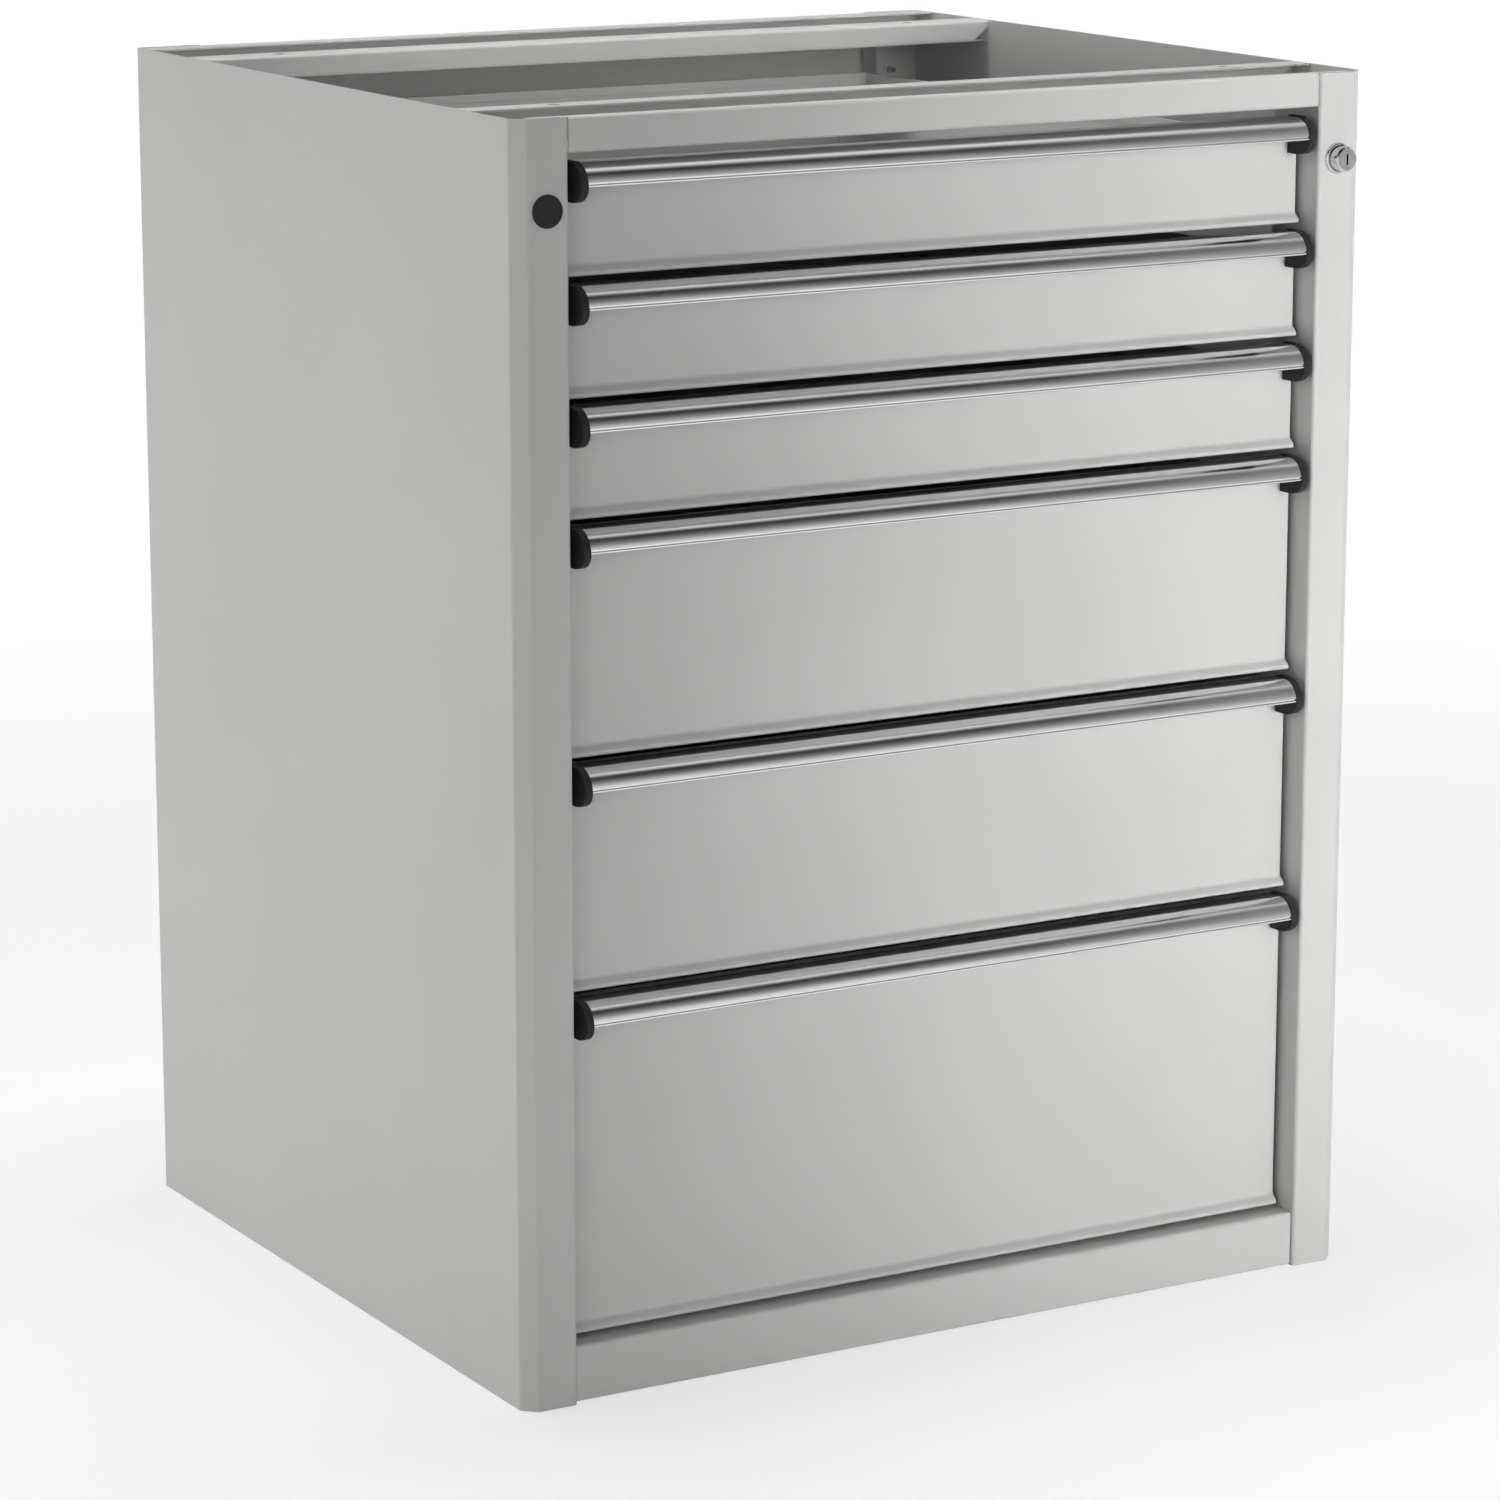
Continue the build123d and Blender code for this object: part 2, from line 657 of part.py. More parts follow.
def slide_inner(drawer):
    """Drawer members, fixed to the tray and nested in the middle members."""
    web = REAR_POST + SLIDE_THICKNESS
    tip = REAR_POST + 2 * (SLIDE_SHEET + SLIDE_CLEARANCE)
    half_height = SLIDE_HEIGHT / 2 - 2 * (SLIDE_SHEET + SLIDE_CLEARANCE)
    plane = Plane((0, SLIDE_START, slide_height(drawer)), x_dir=(1, 0, 0), z_dir=(0, -1, 0))
    return channel(plane, web, tip, half_height, SLIDE_SHEET, TRAY_BACK - SLIDE_START)


def lock_plane(depth):
    """Plane facing the front, on the lock's axis, at a depth behind the post face."""
    origin = (HALF - LOCK_INSET, FRONT + depth, LOCK_HEIGHT)
    return Plane(origin, x_dir=(1, 0, 0), z_dir=(0, -1, 0))


def lock_housing():
    """Fixed lock body: a bezel on the post face and a barrel through it."""
    with BuildPart() as housing:
        with BuildSketch(lock_plane(0)):
            Circle(BEZEL_DIAMETER / 2)
        extrude(amount=BEZEL_THICKNESS)
        fillet(housing.edges().filter_by(GeomType.CIRCLE).sort_by(Axis.Y)[0], BEZEL_EDGE)
        with BuildSketch(lock_plane(0)):
            Circle(BARREL_DIAMETER / 2)
        extrude(amount=-BARREL_LENGTH)
        with BuildSketch(lock_plane(BARREL_LENGTH)):
            Circle(CYLINDER_DIAMETER / 2 + CYLINDER_CLEARANCE)
        extrude(amount=BARREL_LENGTH + BEZEL_THICKNESS, mode=Mode.SUBTRACT)
    return housing.part


def lock_nut():
    """Hexagon nut that clamps the housing behind the post face."""
    with BuildPart() as nut:
        with BuildSketch(lock_plane(SHEET)):
            RegularPolygon(NUT_FLATS / 2, NUT_SIDES, major_radius=False, rotation=180 / NUT_SIDES)
            Circle(BARREL_DIAMETER / 2 + NUT_CLEARANCE, mode=Mode.SUBTRACT)
        extrude(amount=-NUT_THICKNESS)
    return nut.part


def lock_cylinder():
    """Turning cylinder with a keyway in its face."""
    with BuildPart() as cylinder:
        with BuildSketch(lock_plane(-LOCK_PROUD)):
            Circle(CYLINDER_DIAMETER / 2)
        extrude(amount=-LOCK_PROUD - BARREL_LENGTH - CYLINDER_TAIL)
        chamfer(cylinder.edges().filter_by(GeomType.CIRCLE).sort_by(Axis.Y)[0], CYLINDER_EDGE)
        with BuildSketch(lock_plane(-LOCK_PROUD)):
            Rectangle(KEYWAY_WIDTH, KEYWAY_HEIGHT)
        extrude(amount=-KEYWAY_DEPTH, mode=Mode.SUBTRACT)
    return cylinder.part


def cam_pin():
    """Place of the cam's pin beside the lock's axis when the lock is open."""
    angle = radians(2 * QUARTER + LOCK_TURN / 2)
    return CAM_RADIUS * cos(angle), CAM_RADIUS * sin(angle)


def lock_cam():
    """Lever on the cylinder's tail, with the pin that moves the lock bar."""
    start = BARREL_LENGTH + CYLINDER_TAIL
    reach = BAR_FRONT + BAR_THICKNESS - FRONT - start
    with BuildPart() as cam:
        with BuildSketch(lock_plane(start)):
            Circle(CAM_HUB_RADIUS)
            with Locations(cam_pin()):
                Circle(CAM_PIN_RADIUS + CAM_PIN_RIM)
            make_hull()
        extrude(amount=-CAM_THICKNESS)
        with BuildSketch(lock_plane(start)):
            with Locations(cam_pin()):
                Circle(CAM_PIN_RADIUS)
        extrude(amount=-reach - CAM_PIN_CLEARANCE)
    return cam.part


def lock_bar():
    """Upright bar in the right post, with a forked arm for the cam."""
    low = pin_height(-1) - BAR_END
    high = pin_height(0) + BAR_END
    slot = LOCK_HEIGHT - LOCK_STROKE / 2
    slot_half = CAM_PIN_RADIUS + CAM_PIN_CLEARANCE
    arm_tip = LOCK_INSET + CAM_RADIUS * cos(radians(LOCK_TURN / 2)) - slot_half
    slot_end = LOCK_INSET + CAM_RADIUS + slot_half
    with BuildPart() as bar:
        with Locations((HALF - (BAR_INNER + BAR_OUTER) / 2, PIN_Y, (low + high) / 2)):
            Box(BAR_THICKNESS, BAR_WIDTH, high - low)
        with Locations((HALF - (arm_tip + BAR_OUTER) / 2, BAR_FRONT + BAR_THICKNESS / 2, slot)):
            Box(BAR_OUTER - arm_tip, BAR_THICKNESS, BAR_ARM_HEIGHT)
        with Locations((HALF - (arm_tip + slot_end) / 2, BAR_FRONT + BAR_THICKNESS / 2, slot)):
            Box(slot_end - arm_tip, BAR_THICKNESS, 2 * slot_half, mode=Mode.SUBTRACT)
    return bar.part


def lock_bar_pins():
    """Pins on the lock bar, one for each drawer, that reach through the windows in the post's return."""
    with BuildPart() as pins:
        with BuildSketch(Plane.YZ.offset(HALF - BAR_OUTER)):
            with Locations([(PIN_Y, pin_height(drawer)) for drawer in range(len(TOPS))]):
                Circle(PIN_RADIUS)
        extrude(amount=-(POST + PIN_REACH - BAR_OUTER))
    return pins.part


def lock_bar_guides():
    """Clips on the back of the post's return that keep the lock bar upright."""
    front = BAR_FRONT - GUIDE_CLEARANCE
    width = BAR_WIDTH + 2 * GUIDE_CLEARANCE
    inner = BAR_INNER - GUIDE_CLEARANCE
    with BuildPart() as guides:
        # One clip above the second drawer's top line and one above the last drawer's
        for height in (TOPS[1] + GUIDE_UPPER_LIFT, TOPS[-1] + GUIDE_LOWER_LIFT):
            with BuildSketch(Plane.XY.offset(height)):
                with Locations((HALF - (inner - GUIDE_WALL + RETURN_BACK) / 2, PIN_Y)):
                    Rectangle(RETURN_BACK - inner + GUIDE_WALL, width + 2 * GUIDE_WALL)
                with Locations((HALF - (inner + RETURN_BACK) / 2, front + width / 2)):
                    Rectangle(RETURN_BACK - inner, width, mode=Mode.SUBTRACT)
            extrude(amount=GUIDE_HEIGHT)
    return guides.part


def blanking_plug():
    """Push-in plug that closes the spare lock hole in the left post."""
    origin = (-HALF + LOCK_INSET, FRONT, LOCK_HEIGHT)
    face = Plane(origin, x_dir=(1, 0, 0), z_dir=(0, -1, 0))
    with BuildPart() as plug:
        with BuildSketch(face):
            Circle(PLUG_HEAD / 2)
        extrude(amount=PLUG_THICKNESS)
        fillet(plug.edges().filter_by(GeomType.CIRCLE).sort_by(Axis.Y)[0], PLUG_EDGE)
        with BuildSketch(face):
            Circle(PLUG_SHANK / 2)
            Circle(PLUG_SHANK / 2 - PLUG_WALL, mode=Mode.SUBTRACT)
        extrude(amount=-PLUG_SHANK_LENGTH)
    return plug.part


save(side_panel(right=False), "side_panel_left")
save(side_panel(right=True), "side_panel_right")
save(top_rail_front(), "top_rail_front")
save(top_rail_rear(), "top_rail_rear")
save(plinth(), "plinth")
save(base_rail(-1), "base_rail_left")
save(base_rail(1), "base_rail_right")
save(floor_panel(), "floor_panel")
save(back_panel(), "back_panel")
save(back_panel_screws(), "back_panel_screws")
save(blanking_plug(), "blanking_plug")
save(lock_housing(), "lock_housing")
save(lock_nut(), "lock_nut")
save(lock_cylinder(), "lock_cylinder")
save(lock_cam(), "lock_cam")
save(lock_bar(), "lock_bar")
save(lock_bar_pins(), "lock_bar_pins")
save(lock_bar_guides(), "lock_bar_guides")

for index in range(len(FRONT_STEPS)):
    number = index + 1
    save(drawer_front(index), f"drawer_front_{number}")
    save(drawer_tray(index), f"drawer_tray_{number}")
    save(handle_bar(index), f"handle_bar_{number}")
    save(handle_caps(index), f"handle_caps_{number}")
    save(slide_outer(index), f"slide_outer_{number}")
    save(slide_middle(index), f"slide_middle_{number}")
    save(slide_inner(index), f"slide_inner_{number}")
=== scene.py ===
"""Looks of the steel drawer cabinet: finishes, handle bars, lock, screws, floor, light and camera."""

import json
from math import asin, cos, pi, radians, sin

import bmesh
import bpy
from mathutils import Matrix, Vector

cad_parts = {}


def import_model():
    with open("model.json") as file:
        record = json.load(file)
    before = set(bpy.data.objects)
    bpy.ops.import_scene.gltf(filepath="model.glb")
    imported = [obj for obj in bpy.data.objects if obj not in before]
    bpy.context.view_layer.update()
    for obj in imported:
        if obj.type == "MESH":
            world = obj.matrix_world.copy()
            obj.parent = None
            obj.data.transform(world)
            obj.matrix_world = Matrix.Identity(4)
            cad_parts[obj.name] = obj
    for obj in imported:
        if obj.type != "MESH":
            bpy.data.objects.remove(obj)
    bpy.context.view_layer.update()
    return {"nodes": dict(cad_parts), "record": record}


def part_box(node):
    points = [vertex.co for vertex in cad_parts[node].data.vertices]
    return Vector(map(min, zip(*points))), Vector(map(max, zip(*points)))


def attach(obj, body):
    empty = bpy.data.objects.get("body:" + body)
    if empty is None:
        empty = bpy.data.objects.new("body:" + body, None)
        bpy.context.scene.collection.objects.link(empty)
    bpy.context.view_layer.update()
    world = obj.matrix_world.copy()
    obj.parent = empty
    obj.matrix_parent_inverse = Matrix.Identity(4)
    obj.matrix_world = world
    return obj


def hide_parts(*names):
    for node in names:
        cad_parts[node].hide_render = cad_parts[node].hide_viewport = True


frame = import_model()
scene = bpy.context.scene
nodes = frame["nodes"]
slot_of = {part["node"]: part["material_slot"] for part in frame["record"]["subparts"]}

DRAWERS = range(1, 7)
FLOAT = "NodeSocketFloat"
VECTOR = "NodeSocketVector"
GEOMETRY = "NodeSocketGeometry"
WHITE = (1, 1, 1, 1)

scene.view_settings.view_transform = "Standard"


# Small helpers for node trees

def put(tree, kind, inputs=None, **settings):
    """Add a node, set its options, and link or fill its inputs by name or number."""
    node = tree.nodes.new(kind)
    for name, value in settings.items():
        setattr(node, name, value)
    for name, value in (inputs or {}).items():
        if isinstance(value, bpy.types.NodeSocket):
            tree.links.new(value, node.inputs[name])
        else:
            node.inputs[name].default_value = value
    return node


def maths(tree, operation, a, b=0.0, clamp=False):
    """Result socket of one sum."""
    return put(tree, "ShaderNodeMath", {0: a, 1: b}, operation=operation, use_clamp=clamp).outputs[0]


def span(tree, value, low, high, to_low=0.0, to_high=1.0):
    """Value moved from one range to another, held at its ends."""
    node = put(tree, "ShaderNodeMapRange", {"Value": value, "From Min": low, "From Max": high,
                                            "To Min": to_low, "To Max": to_high})
    return node.outputs["Result"]


def blend(tree, factor, a, b):
    """Colour between a and b."""
    return put(tree, "ShaderNodeMix", {0: factor, 6: a, 7: b}, data_type="RGBA").outputs[2]


def noise(tree, vector, scale, detail=2.0, rough=0.5):
    """Soft noise between about 0.3 and 0.7."""
    inputs = {"Vector": vector, "Scale": scale, "Detail": detail, "Roughness": rough}
    return put(tree, "ShaderNodeTexNoise", inputs).outputs["Fac"]


def rise(tree, height):
    """Vector that points straight up by a height."""
    return put(tree, "ShaderNodeCombineXYZ", {"Z": height}).outputs[0]


def group(name, inputs, outputs):
    """Empty shader group with named sockets; returns the tree, its input node and its output node."""
    tree = bpy.data.node_groups.new(name, "ShaderNodeTree")
    for label, kind, start in inputs:
        socket = tree.interface.new_socket(label, in_out="INPUT", socket_type=kind)
        if start is not None:
            socket.default_value = start
    for label, kind in outputs:
        tree.interface.new_socket(label, in_out="OUTPUT", socket_type=kind)
    return tree, put(tree, "NodeGroupInput"), put(tree, "NodeGroupOutput")


def placed(tree, made, inputs):
    """Outputs of a shader group, placed in a material with its own values."""
    return put(tree, "ShaderNodeGroup", inputs, node_tree=made).outputs


def bare_material(name):
    """New material with an empty node tree; returns both."""
    material = bpy.data.materials.new(name)
    material.use_nodes = True
    material.node_tree.nodes.clear()
    return material, material.node_tree


def grey(level):
    """Plain grey of one level."""
    return (level, level, level, 1)


# Effects that several finishes share

def coat_grain():
    """Orange-peel skin of a sprayed or moulded surface: fine cells on slow waves."""
    cell_share, wave_share, cloud_scale = 0.6, 0.4, 5.0
    tree, given, made = group(
        "coat grain", [("Vector", VECTOR, None), ("Cell", FLOAT, 700.0), ("Wave", FLOAT, 160.0)],
        [("Height", FLOAT), ("Cloud", FLOAT)])
    where = given.outputs["Vector"]
    cells = noise(tree, where, given.outputs["Cell"], 1.5)
    waves = noise(tree, where, given.outputs["Wave"], 1.0)
    height = maths(tree, "ADD", maths(tree, "MULTIPLY", cells, cell_share),
                   maths(tree, "MULTIPLY", waves, wave_share))
    tree.links.new(height, made.inputs["Height"])
    tree.links.new(span(tree, noise(tree, where, cloud_scale, 3.0), 0.35, 0.65), made.inputs["Cloud"])
    return tree


def edge_rub():
    """Rounded edge normal, and a mask of edges that hands and tools have rubbed."""
    flat_dot, edge_dot, patch_scale = 0.995, 0.86, 60.0
    tree, given, made = group("edge rub", [("Vector", VECTOR, None), ("Radius", FLOAT, 0.0008)],
                              [("Mask", FLOAT), ("Normal", VECTOR)])
    rounded = put(tree, "ShaderNodeBevel", {"Radius": given.outputs["Radius"]}, samples=4).outputs["Normal"]
    flat = put(tree, "ShaderNodeNewGeometry").outputs["Normal"]
    dot = put(tree, "ShaderNodeVectorMath", {0: rounded, 1: flat}, operation="DOT_PRODUCT").outputs["Value"]
    edge = span(tree, dot, flat_dot, edge_dot)
    broken = span(tree, noise(tree, given.outputs["Vector"], patch_scale, 4.0, 0.6), 0.42, 0.62)
    tree.links.new(maths(tree, "MULTIPLY", edge, broken, clamp=True), made.inputs["Mask"])
    tree.links.new(rounded, made.inputs["Normal"])
    return tree


def settled_dust():
    """Mask of thin dust on faces that look up."""
    slope, level, drift_scale = 0.55, 0.95, 9.0
    tree, given, made = group("settled dust", [("Vector", VECTOR, None), ("Amount", FLOAT, 0.2)],
                              [("Mask", FLOAT)])
    normal = put(tree, "ShaderNodeNewGeometry").outputs["Normal"]
    up = put(tree, "ShaderNodeSeparateXYZ", {0: normal}).outputs["Z"]
    flat = span(tree, up, slope, level)
    drift = span(tree, noise(tree, given.outputs["Vector"], drift_scale, 5.0, 0.6), 0.4, 0.7, 0.35, 1.0)
    mask = maths(tree, "MULTIPLY", maths(tree, "MULTIPLY", flat, drift), given.outputs["Amount"], clamp=True)
    tree.links.new(mask, made.inputs["Mask"])
    return tree


def drawn_lines():
    """Fine lines along one direction, as a drawing or extruding die leaves them."""
    fine_scale, broad_scale, fine_share, broad_share = 2600.0, 420.0, 0.45, 0.55
    tree, given, made = group(
        "drawn lines", [("Vector", VECTOR, None), ("Stretch", VECTOR, (1.0, 1.0, 1.0))],
        [("Height", FLOAT), ("Shade", FLOAT)])
    along = put(tree, "ShaderNodeVectorMath", {0: given.outputs["Vector"], 1: given.outputs["Stretch"]},
                operation="MULTIPLY").outputs["Vector"]
    fine = noise(tree, along, fine_scale, 3.0, 0.6)
    broad = noise(tree, along, broad_scale, 2.0)
    tree.links.new(fine, made.inputs["Height"])
    mixed = maths(tree, "ADD", maths(tree, "MULTIPLY", fine, fine_share),
                  maths(tree, "MULTIPLY", broad, broad_share))
    tree.links.new(span(tree, mixed, 0.36, 0.64), made.inputs["Shade"])
    return tree


def smudges():
    """Clouded mask of handling marks on a bright surface."""
    tree, given, made = group("smudges", [("Vector", VECTOR, None), ("Size", FLOAT, 30.0)], [("Mask", FLOAT)])
    blots = noise(tree, given.outputs["Vector"], given.outputs["Size"], 4.0, 0.55)
    tree.links.new(span(tree, blots, 0.42, 0.7), made.inputs["Mask"])
    return tree


COAT_GRAIN = coat_grain()
EDGE_RUB = edge_rub()
SETTLED_DUST = settled_dust()
DRAWN_LINES = drawn_lines()
SMUDGES = smudges()


# Finishes

def finish(name):
    """New material with a bare Principled shader; returns material, tree, shader and object coordinates."""
    material, tree = bare_material(name)
    shader = put(tree, "ShaderNodeBsdfPrincipled")
    put(tree, "ShaderNodeOutputMaterial", {"Surface": shader.outputs[0]})
    where = put(tree, "ShaderNodeTexCoord").outputs["Object"]
    return material, tree, shader, where


def bump(tree, height, distance, strength, normal=None):
    """Normal socket of a bump with a real depth in metres."""
    inputs = {"Height": height, "Distance": distance, "Strength": strength}
    if normal is not None:
        inputs["Normal"] = normal
    return put(tree, "ShaderNodeBump", inputs).outputs["Normal"]


def powder_coat():
    """Light grey semi-gloss powder coat."""
    dark, light = (0.585, 0.587, 0.574, 1), (0.612, 0.614, 0.6, 1)
    worn, dusty = (0.72, 0.722, 0.71, 1), (0.5, 0.495, 0.475, 1)
    rub_share, dust_dulling = 0.3, 0.6
    material, tree, shader, where = finish("powder_coat")
    grain = placed(tree, COAT_GRAIN, {"Vector": where, "Cell": 620.0, "Wave": 150.0})
    rub = placed(tree, EDGE_RUB, {"Vector": where, "Radius": 0.0007})
    dust = placed(tree, SETTLED_DUST, {"Vector": where, "Amount": 0.16})
    clouded = blend(tree, grain["Cloud"], dark, light)
    rubbed = blend(tree, maths(tree, "MULTIPLY", rub["Mask"], rub_share), clouded, worn)
    tree.links.new(blend(tree, dust["Mask"], rubbed, dusty), shader.inputs["Base Color"])
    gloss = span(tree, grain["Cloud"], 0.0, 1.0, 0.31, 0.37)
    dull = maths(tree, "ADD", gloss, maths(tree, "MULTIPLY", dust["Mask"], dust_dulling), clamp=True)
    tree.links.new(dull, shader.inputs["Roughness"])
    tree.links.new(bump(tree, grain["Height"], 0.00012, 0.5, rub["Normal"]), shader.inputs["Normal"])
    return material


def handle_aluminium():
    """Polished and anodised bar, with the faint lines of the die along it."""
    dark, light = (0.74, 0.75, 0.765, 1), (0.82, 0.83, 0.842, 1)
    mark_dulling = 0.05
    material, tree, shader, where = finish("handle_aluminium")
    lines = placed(tree, DRAWN_LINES, {"Vector": where, "Stretch": (0.004, 1.0, 1.0)})
    marks = placed(tree, SMUDGES, {"Vector": where, "Size": 22.0})
    tree.links.new(blend(tree, lines["Shade"], dark, light), shader.inputs["Base Color"])
    shader.inputs["Metallic"].default_value = 1.0
    rough = maths(tree, "ADD", span(tree, lines["Shade"], 0.0, 1.0, 0.12, 0.17),
                  maths(tree, "MULTIPLY", marks["Mask"], mark_dulling))
    tree.links.new(rough, shader.inputs["Roughness"])
    tree.links.new(bump(tree, lines["Height"], 0.00002, 0.25), shader.inputs["Normal"])
    return material


def black_plastic():
    """Moulded black plastic with a fine matt texture."""
    dark, light = (0.024, 0.024, 0.0242, 1), (0.031, 0.031, 0.0312, 1)
    worn, dusty = (0.04, 0.04, 0.041, 1), (0.3, 0.295, 0.28, 1)
    rub_share = 0.2
    material, tree, shader, where = finish("black_plastic")
    grain = placed(tree, COAT_GRAIN, {"Vector": where, "Cell": 1500.0, "Wave": 420.0})
    rub = placed(tree, EDGE_RUB, {"Vector": where, "Radius": 0.0004})
    dust = placed(tree, SETTLED_DUST, {"Vector": where, "Amount": 0.12})
    tone = blend(tree, grain["Cloud"], dark, light)
    rubbed = blend(tree, maths(tree, "MULTIPLY", rub["Mask"], rub_share), tone, worn)
    tree.links.new(blend(tree, dust["Mask"], rubbed, dusty), shader.inputs["Base Color"])
    shader.inputs["Specular IOR Level"].default_value = 0.16
    tree.links.new(span(tree, grain["Height"], 0.4, 0.6, 0.5, 0.64), shader.inputs["Roughness"])
    tree.links.new(bump(tree, grain["Height"], 0.00008, 0.6, rub["Normal"]), shader.inputs["Normal"])
    return material


def lock_chrome():
    """Bright chrome with light handling marks."""
    clean, marked = (0.64, 0.645, 0.655, 1), (0.52, 0.525, 0.53, 1)
    grain_scale = 1800.0
    material, tree, shader, where = finish("lock_chrome")
    marks = placed(tree, SMUDGES, {"Vector": where, "Size": 130.0})
    tree.links.new(blend(tree, marks["Mask"], clean, marked), shader.inputs["Base Color"])
    shader.inputs["Metallic"].default_value = 1.0
    tree.links.new(span(tree, marks["Mask"], 0.0, 1.0, 0.04, 0.1), shader.inputs["Roughness"])
    fine = noise(tree, where, grain_scale, 2.0)
    tree.links.new(bump(tree, fine, 0.00001, 0.2), shader.inputs["Normal"])
    return material


def zinc_steel():
    """Bright zinc plate on rolled steel, clouded and faintly lined along the runner."""
    dark, light = (0.55, 0.56, 0.575, 1), (0.66, 0.67, 0.68, 1)
    marked, dusty = (0.52, 0.52, 0.5, 1), (0.4, 0.39, 0.37, 1)
    mark_share = 0.35
    material, tree, shader, where = finish("zinc_steel")
    lines = placed(tree, DRAWN_LINES, {"Vector": where, "Stretch": (1.0, 0.006, 1.0)})
    marks = placed(tree, SMUDGES, {"Vector": where, "Size": 26.0})
    rub = placed(tree, EDGE_RUB, {"Vector": where, "Radius": 0.0003})
    dust = placed(tree, SETTLED_DUST, {"Vector": where, "Amount": 0.2})
    tone = blend(tree, lines["Shade"], dark, light)
    clouded = blend(tree, maths(tree, "MULTIPLY", marks["Mask"], mark_share), tone, marked)
    tree.links.new(blend(tree, dust["Mask"], clouded, dusty), shader.inputs["Base Color"])
    tree.links.new(span(tree, dust["Mask"], 0.0, 0.4, 1.0, 0.6), shader.inputs["Metallic"])
    tree.links.new(span(tree, marks["Mask"], 0.0, 1.0, 0.27, 0.42), shader.inputs["Roughness"])
    tree.links.new(bump(tree, lines["Height"], 0.00002, 0.3, rub["Normal"]), shader.inputs["Normal"])
    return material


FINISHES = {"powder_coat": powder_coat(), "handle_aluminium": handle_aluminium(),
            "black_plastic": black_plastic(), "lock_chrome": lock_chrome(), "zinc_steel": zinc_steel()}

for name, node in nodes.items():
    node.data.materials.clear()
    node.data.materials.append(FINISHES[slot_of[name]])


# Pieces made here

SHARP_ANGLE = 32.0


def geometry_tree(name, sizes):
    """Empty geometry tree with a start mesh and named sizes; returns tree, input node and output node."""
    tree = bpy.data.node_groups.new(name, "GeometryNodeTree")
    tree.interface.new_socket("Start", in_out="INPUT", socket_type=GEOMETRY)
    for label, kind in sizes:
        tree.interface.new_socket(label, in_out="INPUT", socket_type=kind)
    tree.interface.new_socket("Piece", in_out="OUTPUT", socket_type=GEOMETRY)
    return tree, put(tree, "NodeGroupInput"), put(tree, "NodeGroupOutput")


def moved(tree, geometry, place, turn=(0.0, 0.0, 0.0)):
    """Geometry socket after a move and a turn."""
    return put(tree, "GeometryNodeTransform", {
        "Geometry": geometry, "Translation": place, "Rotation": turn}).outputs[0]


def joined(tree, pieces):
    """Geometry socket of several pieces together."""
    node = put(tree, "GeometryNodeJoinGeometry")
    for piece in pieces:
        tree.links.new(piece, node.inputs[0])
    return node.outputs[0]


def close_tree(tree, made, geometry, material):
    """End a geometry tree with real faces and their finish."""
    real = put(tree, "GeometryNodeRealizeInstances", {"Geometry": geometry})
    done = put(tree, "GeometryNodeSetMaterial", {"Geometry": real.outputs[0], "Material": material})
    tree.links.new(done.outputs[0], made.inputs[0])


def plain_object(name, mesh):
    """Object at the origin for a finished mesh, its faces outward, smooth apart from its sharp edges."""
    shell = bmesh.new()
    shell.from_mesh(mesh)
    bmesh.ops.recalc_face_normals(shell, faces=shell.faces)
    shell.to_mesh(mesh)
    shell.free()
    mesh.shade_smooth()
    mesh.set_sharp_from_angle(angle=radians(SHARP_ANGLE))
    piece = bpy.data.objects.new(name, mesh)
    scene.collection.objects.link(piece)
    return piece


def grown(name, start, tree, sizes):
    """Run a geometry tree on a start mesh and return the result as a plain piece."""
    holder = bpy.data.objects.new(name + "_start", start)
    scene.collection.objects.link(holder)
    modifier = holder.modifiers.new("tree", "NODES")
    modifier.node_group = tree
    for item in tree.interface.items_tree:
        if item.in_out == "INPUT" and item.name in sizes:
            modifier[item.identifier] = sizes[item.name]
    graph = bpy.context.evaluated_depsgraph_get()
    mesh = bpy.data.meshes.new_from_object(holder.evaluated_get(graph), depsgraph=graph)
    bpy.data.objects.remove(holder)
    finish_used = mesh.materials[-1]
    mesh.materials.clear()
    mesh.materials.append(finish_used)
    return plain_object(name, mesh)


def stand_for(piece, node, body):
    """Let a finished piece take a CAD node's place on its body."""
    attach(piece, body)
    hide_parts(node)


# Handle bars: a rounded section swept along the drawer, with a bead under a fine groove

NOSE_RADIUS = 0.0142
BAR_WALL = 0.002
BAR_FLANGE = 0.013
GROOVE_HEIGHT = 0.0009
GROOVE_DEPTH = 0.0009
BEAD_RADIUS = 0.0009
BEAD_SIDES = 24
ARC_STEPS = 20


